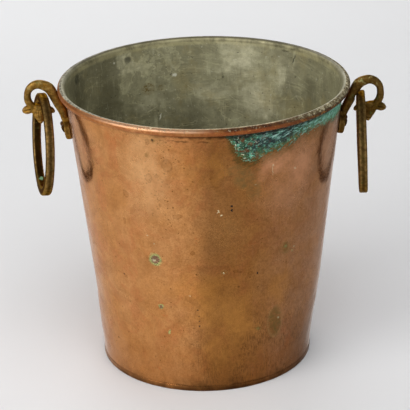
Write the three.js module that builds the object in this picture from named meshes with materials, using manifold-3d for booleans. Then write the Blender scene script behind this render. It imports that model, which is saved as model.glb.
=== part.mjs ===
// A tapered copper pot with a wired rim, two cast brass swan-neck hooks and a hanging
// ring handle in each hook. Millimetres and degrees, +Z up. The origin is on the floor
// under the middle of the pot, and the hooks stand on -X (left) and +X (right).

import * as THREE from 'three';
import { mergeVertices } from 'three/addons/utils/BufferGeometryUtils.js';
import Module from 'manifold-3d';

const wasm = await Module();
wasm.setup();

// Pot.
const potHeight = 241;
const rimDiameter = 240;
const baseDiameter = 177.6;
const wallSheet = 1;
const rimWireDiameter = 3.8;
const curlSlit = 0.7;

// Base pan.
const baseSheet = 1.2;
const panEdgeSheet = 0.7;
const panEdgeHeight = 4.6;
const panCornerRadius = 1;

// Hooks. Drops in a hook are measured down from its top, and the way out from the rim.
const hookRise = 1.8;
const hookDepth = 6;
const stemDepth = 10;
const stemThickness = 6.4;
const waistOut = -3.7;
const waistDrop = 27.6;
const waistThickness = 7.5;
const armFootOut = 0;
const armFootDrop = 20.6;
const armMiddleOut = 3.4;
const armMiddleDrop = 13.4;
const armTopOut = 6.8;
const armTopDrop = 7.3;
const armFootThickness = 7.8;
const armThickness = 9;
const curlOut = 14.7;
const curlRadius = 13.1;
const curlTopThickness = 7.4;
const curlSideThickness = 5.8;
const headRootThickness = 6.2;

// Beast's head that ends each hook.
const headOut = 16.2;
const headLength = 16.1;
const skullWidth = 13;
const headDepth = 8.6;
const outerEarSpan = 13.6;
const innerEarSpan = 13.1;
const outerEarThickness = 7.2;
const innerEarThickness = 5.8;
const earDrop = 3.9;
const outerEarSlope = 0.3;
const innerEarSlope = 0.5;

// Palm, the leaf by which a hook is riveted to the wall.
const palmWidth = 22;
const palmThickness = 4.6;
const palmBelowRivets = 10.9;
const palmAboveRivets = 9;
const palmBevel = 1.6;

// Rivets. Their drop is measured down from the top of the pot.
const rivetDrop = 37.7;
const rivetSpacing = 9.8;
const shankDiameter = 4;
const outerHeadDiameter = 7;
const outerHeadHeight = 3;
const innerHeadDiameter = 7.2;
const innerHeadHeight = 1.1;

// Ring handles.
const ringDiameter = 85.5;
const ringWidth = 7.1;
const ringThickness = 7.5;
const ringCorner = 1.5;
const barSeat = 0.5;

// Fits and facets.
const clearance = 0.3;
const saddleClearance = 0.28;
const potSegments = 72;
const ringSegments = 48;
const limbSides = 12;

// Each side: its turn about the pot, how far its hook stands above the mean height, how
// far down its head starts, and how its ring lies at rest: where its bar sits on the head,
// the ring's turn about the vertical, and its lean away from the pot.
const sides = [
  {
    name: 'left',
    turn: 180,
    lift: 1,
    headDrop: 21.5,
    barOut: 11.8,
    ringTurn: 12.4,
    ringLean: 3.5,
  },
  {
    name: 'right',
    turn: 0,
    lift: -1,
    headDrop: 23.3,
    barOut: 8.9,
    ringTurn: -3.2,
    ringLean: 1.9,
  },
];

// Worked out from the sizes above.
const radians = THREE.MathUtils.degToRad;
const degrees = THREE.MathUtils.radToDeg;
const rimRadius = rimDiameter / 2;
const wireRadius = rimWireDiameter / 2;
const curlInner = wireRadius + clearance;
const curlOuter = curlInner + wallSheet;
const beadRadius = rimRadius - curlOuter;
const beadHeight = potHeight - curlOuter;
const wallFoot = baseSheet + clearance;
const footRadius = baseDiameter / 2 - panEdgeSheet - clearance;
const wallSlope = (beadRadius - curlInner - footRadius) / (beadHeight - wallFoot);
const wallLean = Math.atan(wallSlope);
const sheetAcross = wallSheet / Math.cos(wallLean);
const gapAcross = clearance / Math.cos(wallLean);
const wallOuter = (z) => footRadius + wallSlope * (z - wallFoot);
const rivetHeight = potHeight - rivetDrop;
const hookTop = (side) => potHeight + hookRise + side.lift;
const barDrop = (side) => side.headDrop - ringThickness / 2 - barSeat;
const ringMiddle = ringDiameter / 2 - ringThickness / 2;

const copper = new THREE.MeshStandardMaterial({ color: 0xb0713f, roughness: 0.38, metalness: 1 });
const iron = new THREE.MeshStandardMaterial({ color: 0x4a4440, roughness: 0.7, metalness: 1 });
const brass = new THREE.MeshStandardMaterial({ color: 0x8c672c, roughness: 0.42, metalness: 1 });
const darkCopper = new THREE.MeshStandardMaterial({ color: 0x80532f, roughness: 0.5, metalness: 1 });

// Merges the shared vertices of a closed geometry and turns its faces outward.
function closed(geometry) {
  const bare = geometry.clone();
  bare.deleteAttribute('normal');
  bare.deleteAttribute('uv');
  const merged = mergeVertices(bare, 1e-4);
  const place = merged.getAttribute('position');
  const corners = Array.from(merged.index.array);
  const faces = [];
  let volume = 0;
  for (let i = 0; i < corners.length; i += 3) {
    const face = corners.slice(i, i + 3);
    if (new Set(face).size < 3) continue;
    const [a, b, c] = face.map((n) => new THREE.Vector3().fromBufferAttribute(place, n));
    volume += a.dot(b.cross(c));
    faces.push(face);
  }
  merged.setIndex(faces.map(([a, b, c]) => (volume < 0 ? [a, c, b] : [a, b, c])).flat());
  return merged;
}

function toSolid(geometry) {
  const merged = closed(geometry);
  const mesh = new wasm.Mesh({
    numProp: 3,
    vertProperties: new Float32Array(merged.getAttribute('position').array),
    triVerts: new Uint32Array(merged.index.array),
  });
  return new wasm.Manifold(mesh);
}

function toGeometry(solid) {
  const mesh = solid.getMesh();
  const geometry = new THREE.BufferGeometry();
  geometry.setAttribute('position', new THREE.BufferAttribute(mesh.vertProperties, 3));
  geometry.setIndex(new THREE.BufferAttribute(mesh.triVerts, 1));
  return geometry;
}

// Turns a profile of [radius, height] pairs about the Z axis.
function turned(profile, segments) {
  const points = profile.map(([radius, height]) => new THREE.Vector2(radius, height));
  const geometry = new THREE.LatheGeometry(points, segments);
  return closed(geometry.rotateX(Math.PI / 2));
}

// Points of an arc, with angles in degrees from the outward direction.
function arc(radius, height, size, from, to, steps) {
  return Array.from({ length: steps + 1 }, (_, i) => {
    const angle = radians(from + ((to - from) * i) / steps);
    return [radius + size * Math.cos(angle), height + size * Math.sin(angle)];
  });
}

// The wall sheet: a cone whose top edge is curled outward and down round the rim wire,
// leaving a slit between the edge of the curl and the wall.
function wallProfile() {
  const tangent = 180 - degrees(wallLean);
  const slit = tangent - 360 + degrees(Math.acos((curlInner - curlSlit) / curlOuter));
  const outside = arc(beadRadius, beadHeight, curlOuter, slit, tangent, 8);
  const inside = arc(beadRadius, beadHeight, curlInner, tangent, slit, 8);
  const foot = [
    [footRadius - sheetAcross, wallFoot],
    [footRadius, wallFoot],
  ];
  return [...inside, ...outside, ...foot, inside[0]];
}

// The base pan: a disc whose edge is turned up outside the foot of the wall.
function basePanProfile() {
  const edge = (z, out) => [wallOuter(z) + gapAcross + out / Math.cos(wallLean), z];
  const cornerMiddle = baseDiameter / 2 - panCornerRadius;
  return [
    [0, 0],
    ...arc(cornerMiddle, panCornerRadius, panCornerRadius, -90, -degrees(wallLean), 3),
    edge(panEdgeHeight, panEdgeSheet),
    edge(panEdgeHeight, 0),
    edge(baseSheet, 0),
    [0, baseSheet],
  ];
}

// A closed limb swept through stations in the XZ plane. Each station is
// [out, up, thickness in that plane, depth along Y]; the sections are rounded squares.
function limb(stations, stepsBetween) {
  const middles = stations.map(([out, up]) => new THREE.Vector3(out, 0, up));
  const sizes = stations.map(([, , thick, deep]) => new THREE.Vector3(thick, deep, 0));
  const middleCurve = new THREE.CatmullRomCurve3(middles, false, 'centripetal');
  const sizeCurve = new THREE.CatmullRomCurve3(sizes, false, 'centripetal');
  const steps = (stations.length - 1) * stepsBetween;
  const squareness = 2.4;
  const bulge = (value) => Math.sign(value) * Math.abs(value) ** (2 / squareness);
  const vertices = [];
  const faces = [];
  for (let i = 0; i <= steps; i += 1) {
    const middle = middleCurve.getPoint(i / steps);
    const size = sizeCurve.getPoint(i / steps);
    const along = middleCurve.getTangent(i / steps);
    const across = new THREE.Vector3(-along.z, 0, along.x);
    for (let j = 0; j < limbSides; j += 1) {
      const angle = (2 * Math.PI * (j + 0.5)) / limbSides;
      const point = middle.clone().addScaledVector(across, (bulge(Math.cos(angle)) * size.x) / 2);
      point.y += (bulge(Math.sin(angle)) * size.y) / 2;
      vertices.push(point);
    }
  }
  const corner = (i, j) => i * limbSides + (j % limbSides);
  for (let i = 0; i < steps; i += 1) {
    for (let j = 0; j < limbSides; j += 1) {
      faces.push(corner(i, j), corner(i, j + 1), corner(i + 1, j + 1));
      faces.push(corner(i, j), corner(i + 1, j + 1), corner(i + 1, j));
    }
  }
  const firstTip = vertices.push(middles[0]) - 1;
  const lastTip = vertices.push(middles.at(-1)) - 1;
  for (let j = 0; j < limbSides; j += 1) {
    faces.push(firstTip, corner(0, j + 1), corner(0, j));
    faces.push(lastTip, corner(steps, j), corner(steps, j + 1));
  }
  const geometry = new THREE.BufferGeometry().setFromPoints(vertices);
  geometry.setIndex(faces);
  return toSolid(geometry);
}

// The neck climbs the wall from the palm, leans out under the rim and curls over to the
// root of the head.
function neck(side) {
  const atWall = (z, thick, deep) => {
    const out = wallOuter(z) + gapAcross + thick / 2 - rimRadius;
    return [out, z - hookTop(side), thick, deep];
  };
  const onCurl = (angle, thick) => {
    const middle = curlRadius - thick / 2;
    const out = curlOut + middle * Math.cos(radians(angle));
    return [out, -curlRadius + middle * Math.sin(radians(angle)), thick, hookDepth];
  };
  const thinner = (share) => curlTopThickness + (curlSideThickness - curlTopThickness) * share;
  return limb([
    atWall(rivetHeight - 3, stemThickness * 0.5, stemDepth * 0.8),
    atWall(rivetHeight + 2, stemThickness * 0.76, stemDepth),
    atWall(rivetHeight + 7.5, stemThickness, stemDepth),
    [waistOut, -waistDrop, waistThickness, (stemDepth + hookDepth) / 2],
    [armFootOut, -armFootDrop, armFootThickness, hookDepth + 1.5],
    [armMiddleOut, -armMiddleDrop, armThickness * 0.91, hookDepth + 1],
    [armTopOut, -armTopDrop, armThickness, hookDepth + 0.5],
    onCurl(109, (armThickness + curlTopThickness) / 2),
    onCurl(82, curlTopThickness),
    onCurl(52, thinner(0.4)),
    onCurl(24, thinner(0.85)),
    onCurl(0, curlSideThickness),
    [headOut + 8.5, -side.headDrop + 4.1, curlSideThickness + 0.5, hookDepth],
    [headOut + 6.4, -side.headDrop, headRootThickness, hookDepth + 0.2],
    [headOut + 2.1, -side.headDrop - 4, headRootThickness, hookDepth + 0.5],
  ], 2);
}

// The head hangs snout down, with an ear out to each side.
function skull(side) {
  const at = (out, down, wide, deep) => [headOut + out, -side.headDrop - down, wide, deep];
  return limb([
    at(-0.8, 0.1, skullWidth * 0.65, headDepth * 0.66),
    at(-0.3, 2.6, skullWidth, headDepth * 0.94),
    at(-0.1, 6.2, skullWidth * 0.92, headDepth),
    at(-0.7, headLength - 4.9, skullWidth * 0.57, headDepth * 0.86),
    at(-1.2, headLength - 1.8, skullWidth * 0.36, headDepth * 0.7),
    at(-1.7, headLength, skullWidth * 0.16, headDepth * 0.35),
  ], 3);
}

// An ear slopes down from its root in the skull to its tip.
function ear(side, way, span, thick, slope) {
  const at = (share, wide, deep) => {
    const drop = side.headDrop + earDrop + slope * span * (share - 0.6);
    return [headOut + way * span * share, -drop, thick * wide, headDepth * deep];
  };
  return limb([
    at(0.2, 0.85, 0.72),
    at(0.48, 1, 0.65),
    at(0.74, 1, 0.56),
    at(0.89, 0.74, 0.45),
    at(1, 0.28, 0.24),
  ], 3);
}

// The palm's leaf in its own frame: X square to the wall, Z up the wall, the rivets on Y.
function palmLeaf() {
  const root = 2;
  const half = palmWidth / 2 - palmBevel;
  const stem = stemDepth / 2 - palmBevel;
  const top = palmAboveRivets - palmBevel;
  const bottom = -palmBelowRivets + palmBevel;
  const shape = new THREE.Shape();
  shape.moveTo(0, bottom);
  shape.bezierCurveTo(half * 0.62, bottom, half, bottom * 0.55, half, 0);
  shape.bezierCurveTo(half, top * 0.5, stem * 1.2, top * 0.45, stem, top);
  shape.lineTo(-stem, top);
  shape.bezierCurveTo(-stem * 1.2, top * 0.45, -half, top * 0.5, -half, 0);
  shape.bezierCurveTo(-half, bottom * 0.55, -half * 0.62, bottom, 0, bottom);
  const leaf = new THREE.ExtrudeGeometry(shape, {
    depth: palmThickness - palmBevel + root,
    bevelThickness: palmBevel,
    bevelSize: palmBevel,
    bevelSegments: 3,
    curveSegments: 8,
  });
  const upright = new THREE.Matrix4().makeBasis(
    new THREE.Vector3(0, 1, 0),
    new THREE.Vector3(0, 0, 1),
    new THREE.Vector3(1, 0, 0),
  );
  return leaf.applyMatrix4(upright).translate(-root, 0, 0);
}

// The middle of the rivets' line on the palm's seat, with X square to the wall.
function palmFrame() {
  const frame = new THREE.Matrix4().makeRotationY(wallLean);
  return frame.setPosition(wallOuter(rivetHeight) + gapAcross, 0, rivetHeight);
}

function rivetFrames() {
  return [-1, 1].map((way) => {
    const shift = new THREE.Matrix4().makeTranslation(0, (way * rivetSpacing) / 2, 0);
    return palmFrame().multiply(shift);
  });
}

// A rivet along X, from its flat inner head, which clears the bow of the wall, to its
// domed outer head.
function rivetGeometry() {
  const shank = shankDiameter / 2;
  const outer = outerHeadDiameter / 2;
  const inner = innerHeadDiameter / 2;
  const headReach = rivetSpacing / 2 + inner;
  const bow = (headReach ** 2) / (2 * footRadius);
  const innerSeat = -clearance - wallSheet - clearance - bow;
  const outerSeat = palmThickness + clearance;
  const profile = [
    [0, innerSeat - innerHeadHeight],
    [inner * 0.8, innerSeat - innerHeadHeight],
    [inner, innerSeat - innerHeadHeight * 0.45],
    [inner, innerSeat],
    [shank, innerSeat],
    [shank, outerSeat],
    [outer, outerSeat],
    [outer * 0.9, outerSeat + outerHeadHeight * 0.55],
    [outer * 0.5, outerSeat + outerHeadHeight * 0.92],
    [0, outerSeat + outerHeadHeight],
  ];
  return turned(profile, 16).rotateY(Math.PI / 2);
}

function rivetHole() {
  const radius = shankDiameter / 2 + clearance;
  const length = 4 * (palmThickness + wallSheet);
  return new THREE.CylinderGeometry(radius, radius, length, 16).rotateZ(Math.PI / 2);
}

const standUp = (geometry) => geometry.rotateY(Math.PI / 2);

// The ring's bar is a square with rounded corners, turned about the ring's own axis.
function ringGeometry() {
  const across = ringThickness / 2 - ringCorner;
  const along = ringWidth / 2 - ringCorner;
  const corners = [
    [across, along, 0],
    [-across, along, 90],
    [-across, -along, 180],
    [across, -along, 270],
  ];
  const profile = corners.flatMap(([x, y, from]) =>
    arc(ringMiddle + x, y, ringCorner, from, from + 90, 2));
  return standUp(turned([...profile, profile[0]], ringSegments));
}

// The ring's own frame, hung from the middle of the bar that lies in the hook.
function ringFrame(side) {
  const lean = new THREE.Matrix4().makeRotationY(-radians(side.ringLean));
  const hang = new THREE.Matrix4().makeTranslation(0, 0, -ringMiddle);
  const frame = new THREE.Matrix4().makeRotationZ(radians(side.ringTurn));
  frame.setPosition(rimRadius + side.barOut, 0, hookTop(side) - barDrop(side));
  return frame.multiply(lean).multiply(hang);
}

// The room that the bar's corners need as the ring swings, worn into the hook.
function saddle(side) {
  const across = Math.max(ringWidth, ringThickness) / 2 - ringCorner;
  const reach = Math.SQRT2 * across + ringCorner + saddleClearance;
  const room = standUp(turned(arc(ringMiddle, 0, reach, 0, 360, 20), ringSegments));
  return toSolid(room.applyMatrix4(ringFrame(side)));
}

// The room that a hook leaves to the wall and to the rolled rim.
function wallRoom() {
  const cone = [
    [0, 0],
    [wallOuter(0) + gapAcross, 0],
    [wallOuter(beadHeight) + gapAcross, beadHeight],
    [0, beadHeight],
  ];
  const bead = arc(beadRadius, beadHeight, curlOuter + clearance, 0, 360, 16);
  return toSolid(turned(cone, potSegments)).add(toSolid(turned(bead, potSegments)));
}

function hookGeometry(side) {
  const inPlace = new THREE.Matrix4().makeTranslation(rimRadius, 0, hookTop(side));
  const outerEar = ear(side, 1, outerEarSpan, outerEarThickness, outerEarSlope);
  const innerEar = ear(side, -1, innerEarSpan, innerEarThickness, innerEarSlope);
  const curled = neck(side).add(skull(side)).add(outerEar).add(innerEar);
  const palm = toSolid(palmLeaf().applyMatrix4(palmFrame()));
  let hook = curled.transform(inPlace.toArray()).add(palm);
  hook = hook.subtract(wallRoom()).subtract(saddle(side));
  for (const frame of rivetFrames()) {
    hook = hook.subtract(toSolid(rivetHole().applyMatrix4(frame)));
  }
  return toGeometry(hook);
}

const sideTurn = (side) => new THREE.Matrix4().makeRotationZ(radians(side.turn));

function wallGeometry() {
  let wall = toSolid(turned(wallProfile(), potSegments));
  for (const side of sides) {
    for (const frame of rivetFrames()) {
      wall = wall.subtract(toSolid(rivetHole().applyMatrix4(sideTurn(side).multiply(frame))));
    }
  }
  return toGeometry(wall);
}

function rimWireGeometry() {
  return turned(arc(beadRadius, beadHeight, wireRadius, 0, 360, 8), potSegments);
}

function named(name, geometry, material, frame = new THREE.Matrix4()) {
  const mesh = new THREE.Mesh(geometry, material);
  mesh.name = name;
  mesh.applyMatrix4(frame);
  return mesh;
}

const pot = new THREE.Group();
pot.add(named('wall', wallGeometry(), copper));
pot.add(named('base_pan', turned(basePanProfile(), potSegments), copper));
pot.add(named('rim_wire', rimWireGeometry(), iron));

for (const side of sides) {
  const fitting = new THREE.Group();
  fitting.applyMatrix4(sideTurn(side));
  fitting.add(named(`${side.name}_hook`, hookGeometry(side), brass));
  rivetFrames().forEach((frame, i) => {
    fitting.add(named(`${side.name}_rivet_${i + 1}`, rivetGeometry(), darkCopper, frame));
  });
  fitting.add(named(`${side.name}_ring`, ringGeometry(), brass, ringFrame(side)));
  pot.add(fitting);
}

export default pot;
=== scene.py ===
# A tapered copper pot, tinned inside, with two cast brass hooks and a hanging ring in each.
# Metres, +Z up, the origin on the floor under the middle of the pot, the front towards -Y.

import functools
import math

import bpy
import numpy as np
from mathutils import Matrix, Vector


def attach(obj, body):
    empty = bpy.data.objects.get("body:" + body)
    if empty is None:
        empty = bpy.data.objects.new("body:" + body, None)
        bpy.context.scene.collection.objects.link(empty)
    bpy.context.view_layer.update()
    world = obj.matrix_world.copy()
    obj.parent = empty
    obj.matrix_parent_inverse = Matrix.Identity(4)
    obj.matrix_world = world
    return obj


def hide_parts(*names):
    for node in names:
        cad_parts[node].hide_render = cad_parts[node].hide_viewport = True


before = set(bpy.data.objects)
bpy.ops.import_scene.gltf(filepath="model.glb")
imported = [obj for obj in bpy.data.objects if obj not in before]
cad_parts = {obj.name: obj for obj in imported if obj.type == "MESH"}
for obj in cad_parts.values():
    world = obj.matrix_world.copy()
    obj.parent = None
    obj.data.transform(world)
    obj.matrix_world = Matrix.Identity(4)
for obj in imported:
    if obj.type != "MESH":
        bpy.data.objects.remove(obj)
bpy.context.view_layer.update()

MM = 0.001

# Camera, fitted to the photograph.
FRAME_PIXELS = 410
FOCAL_PIXELS = 1896.2
SENSOR_WIDTH = 36
CAMERA_DISTANCE = 1472 * MM
CAMERA_HEIGHT = 745 * MM
CAMERA_YAW = -0.046
CAMERA_PITCH = 22.69
CAMERA_ROLL = -1.3

# Pot.
POT_HEIGHT = 241 * MM
BASE_RADIUS = 88.8 * MM
WALL_SHEET = 1 * MM
WALL_FOOT = 1.5 * MM
BEAD_SIZE = 3.1 * MM
BEAD_HOLE = 2.2 * MM
BEAD_RADIUS = 116.8 * MM
BEAD_HEIGHT = 237.8 * MM
PAN_SHEET = 1.2 * MM
PAN_EDGE_SHEET = 0.7 * MM
PAN_EDGE_HEIGHT = 4.6 * MM
PAN_CORNER = 1.2 * MM
PAN_LIP = 0.1 * MM
PAN_STAND_OFF = 0.4 * MM
LAP_GAP = 0.05 * MM
SEAM_GAP = 0.3 * MM
FOOT_RADIUS = BASE_RADIUS - PAN_EDGE_SHEET - SEAM_GAP
WALL_SLOPE = (BEAD_RADIUS - BEAD_HOLE - FOOT_RADIUS) / (BEAD_HEIGHT - WALL_FOOT)
WALL_LEAN = math.atan(WALL_SLOPE)

# How far the foot of the pot stands out of true, to the left, and where that ends.
FOOT_SHIFT = 2.0 * MM
SHIFT_FULL_BELOW = 18 * MM
SHIFT_ENDS_AT = 78 * MM

# The foot is beaten a little outward.
FOOT_FLARE = 0.6 * MM
FLARE_ENDS_AT = 16 * MM

# Slow waves in the hand-beaten wall: how many to a turn, how many up the wall, size, phase.
WAVES = [
    (2, 0.5, 0.30 * MM, 0.4),
    (3, 0.8, 0.22 * MM, 2.1),
    (5, 1.0, 0.16 * MM, 4.0),
    (9, 0.6, 0.10 * MM, 1.3),
    (14, 1.2, 0.07 * MM, 5.2),
    (23, 0.7, 0.05 * MM, 3.3),
    (31, 1.7, 0.04 * MM, 0.9),
]

# Rings.
RING_RADIUS = 39 * MM
RING_WIDTH = 7.1 * MM
RING_THICKNESS = 7.5 * MM
RING_CORNER = 1.5 * MM
RINGS = {
    "left": {"turn": 180, "bar": 131.8 * MM, "height": 226.55 * MM, "swivel": 12.4, "lean": 3.5},
    "right": {"turn": 0, "bar": 128.9 * MM, "height": 222.75 * MM, "swivel": -3.2, "lean": 1.9},
}

# Hooks and the animal heads that end them.
HEADS = {
    "left": {"side": -1, "out": 136.2 * MM, "top": 222.3 * MM},
    "right": {"side": 1, "out": 136.2 * MM, "top": 218.5 * MM},
}
HOOK_VOXEL = 0.42 * MM

# Grooves cut in a head: out and down of each end from the root of the head, width and depth.
HEAD_GROOVES = [
    ((-4.0, 12.4), (1.2, 13.2), 0.55, 0.7),
    ((-2.4, 14.4), (-1.0, 16.2), 0.35, 0.4),
    ((-11.5, 5.7), (-6.2, 3.2), 0.6, 0.6),
    ((11.8, 5.0), (7.0, 3.5), 0.6, 0.7),
    ((-4.6, 1.8), (-1.2, 4.2), 0.5, 0.45),
    ((4.4, 1.8), (1.2, 4.2), 0.5, 0.45),
    ((-0.2, 4.0), (-0.6, 9.4), 0.45, 0.25),
]
HEAD_EYES = [(-2.7, 6.4), (2.1, 6.2)]
EYE_RADIUS = 0.95

# Rivets.
PALM_THICKNESS = 4.6 * MM
RIVET_HEIGHT = 203.3 * MM
HEAD_RADIUS = 3.5 * MM

# How high each hammered head stands, in shares of a new one, and how much more at its top.
RIVET_HEADS = {
    "left_rivet_1": (1.15, 0.5),
    "left_rivet_2": (0.65, 0.35),
    "right_rivet_1": (0.5, 0.2),
    "right_rivet_2": (0.8, 0.3),
}

# Steps round a full turn of the pot and of a ring.
POT_STEPS = 480
RING_STEPS = 240

# Verdigris below the bead: its top and its greatest depth.
VERDIGRIS_TOP = 235.5 * MM
VERDIGRIS_DEPTH = 28 * MM

# Verdigris in the left ring, and how far it reaches.
RING_SPOT = (-138.2 * MM, 8.3 * MM, 154 * MM)
RING_SPOT_REACH = 2.6 * MM

# How each metal tints what it mirrors at a glancing angle.
COPPER_EDGE = (0.9, 0.84, 0.78, 1)
BRASS_EDGE = (0.5, 0.36, 0.2, 1)

# Strength of the surrounding light: above the horizon, and below it to each side.
SKY_GLOW = 0.295
LEFT_GLOW = 0.84
FRONT_GLOW = 0.425
BACK_GLOW = 0.46


def turn_of(degrees_about_z):
    return Matrix.Rotation(math.radians(degrees_about_z), 4, "Z")


def wall_outer(height):
    return FOOT_RADIUS + WALL_SLOPE * (height - WALL_FOOT)


def smooth(value, low, high):
    share = np.clip((value - low) / (high - low), 0, 1)
    return share * share * (3 - 2 * share)


def srgb(red, green, blue):
    """A colour given in screen values from 0 to 255, as linear light."""
    def linear(value):
        value = value / 255
        return value / 12.92 if value <= 0.04045 else ((value + 0.055) / 1.055) ** 2.4
    return (linear(red), linear(green), linear(blue), 1)


# Materials.

def put(socket, value):
    if isinstance(value, bpy.types.NodeSocket):
        socket.id_data.links.new(value, socket)
    else:
        socket.default_value = value


def node(kind, inputs, output=0, **settings):
    """An output of a new node, in the tree of the sockets that are linked to its inputs."""
    inputs = dict(inputs)
    tree = next(value.id_data for value in inputs.values() if isinstance(value, bpy.types.NodeSocket))
    made = tree.nodes.new(kind)
    for key, value in settings.items():
        setattr(made, key, value)
    for key, value in inputs.items():
        put(made.inputs[key], value)
    return made.outputs[output]


def calculate(operation, *values, clamp=False):
    return node("ShaderNodeMath", enumerate(values), operation=operation, use_clamp=clamp)


def plus(first, second):
    return calculate("ADD", first, second)


def minus(first, second):
    return calculate("SUBTRACT", first, second)


def times(*values):
    return functools.reduce(functools.partial(calculate, "MULTIPLY"), values)


def most(*values):
    return functools.reduce(functools.partial(calculate, "MAXIMUM"), values)


def away(value, middle=0.0):
    """How far a value is from a middle one."""
    return calculate("ABSOLUTE", minus(value, middle))


def between(value, low, high, start=0.0, end=1.0, curve="SMOOTHSTEP"):
    """start where value is low, end where it is high, and between along a curve."""
    inputs = {"Value": value, "From Min": low, "From Max": high, "To Min": start, "To Max": end}
    return node("ShaderNodeMapRange", inputs, interpolation_type=curve)


def window(value, *ends):
    """Rises from 0 to 1 between the first two ends and, with four ends, falls again
    between the last two."""
    found = between(value, ends[0], ends[1])
    if len(ends) == 4:
        found = times(found, between(value, ends[3], ends[2]))
    return found


def blend(share, first, second):
    return node("ShaderNodeMix", {0: share, 2: first, 3: second})


def mix(share, first, second):
    """A mix of two colours, each made by other nodes or given in screen values."""
    first, second = (srgb(*tone) if isinstance(tone, tuple) else tone for tone in (first, second))
    return node("ShaderNodeMix", {0: share, 6: first, 7: second}, output=2, data_type="RGBA")


def shifted(value, pattern, size):
    """A value moved up and down by a pattern, by half the size at most."""
    return plus(value, times(minus(pattern, 0.5), size))


def vector(operation, *values, output=0):
    return node("ShaderNodeVectorMath", enumerate(values), output=output, operation=operation)


def stretched(where, x, y):
    return vector("MULTIPLY", where, (x, y, 1))


def turned(where, degrees):
    inputs = {"Vector": where, "Angle": math.radians(degrees)}
    return node("ShaderNodeVectorRotate", inputs, rotation_type="Z_AXIS")


def noise(where, scale, detail=3.0, roughness=0.55, distortion=0.0, output=0):
    inputs = {"Vector": where, "Scale": scale, "Detail": detail,
              "Roughness": roughness, "Distortion": distortion}
    return node("ShaderNodeTexNoise", inputs, output=output)


def clouds(where, scale, low, high, detail=3.0, roughness=0.55, distortion=0.0):
    return between(noise(where, scale, detail, roughness, distortion), low, high)


def specks(where, scale, share, size):
    """Round specks of many sizes in a share of the cells of a pattern of this scale."""
    cells = node("ShaderNodeTexVoronoi", {"Vector": where, "Scale": scale}).node
    red, green, _ = node("ShaderNodeSeparateColor", {0: cells.outputs["Color"]}).node.outputs
    reach = between(red, 0, 1, size * 0.3, size, curve="LINEAR")
    inside = calculate("DIVIDE", cells.outputs["Distance"], reach)
    inside = between(inside, 1.1, 0.5, curve="LINEAR")
    return times(inside, calculate("LESS_THAN", green, share))


def bump(height, distance, strength=1.0, under=None):
    inputs = {"Height": height, "Distance": distance, "Strength": strength}
    if under is not None:
        inputs["Normal"] = under
    return node("ShaderNodeBump", inputs)


class Shading:
    """Builds one material, with its colour laid on in coats."""

    def __init__(self, name):
        self.material = bpy.data.materials.new(name)
        self.material.use_nodes = True
        self.tree = self.material.node_tree
        self.tree.nodes.clear()
        self.surface = self.tree.nodes.new("ShaderNodeBsdfPrincipled")
        output = self.tree.nodes.new("ShaderNodeOutputMaterial")
        put(output.inputs["Surface"], self.surface.outputs[0])
        self.place = self.tree.nodes.new("ShaderNodeTexCoord").outputs["Object"]
        self.colour = None

    def coat(self, tone, *shares):
        """Lays a tone over the colour so far, as thickly as the shares multiply to."""
        self.colour = mix(times(*shares), self.colour, tone)

    def moved(self, x, y, z):
        """The place shifted far enough for a noise of its own."""
        return vector("ADD", self.place, (x, y, z))

    def finish(self, roughness, metallic, normal, **plain):
        put(self.surface.inputs["Base Color"], self.colour)
        put(self.surface.inputs["Roughness"], roughness)
        put(self.surface.inputs["Metallic"], metallic)
        put(self.surface.inputs["Normal"], normal)
        for key, value in plain.items():
            self.surface.inputs[key.replace("_", " ")].default_value = value
        return self.material


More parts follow.
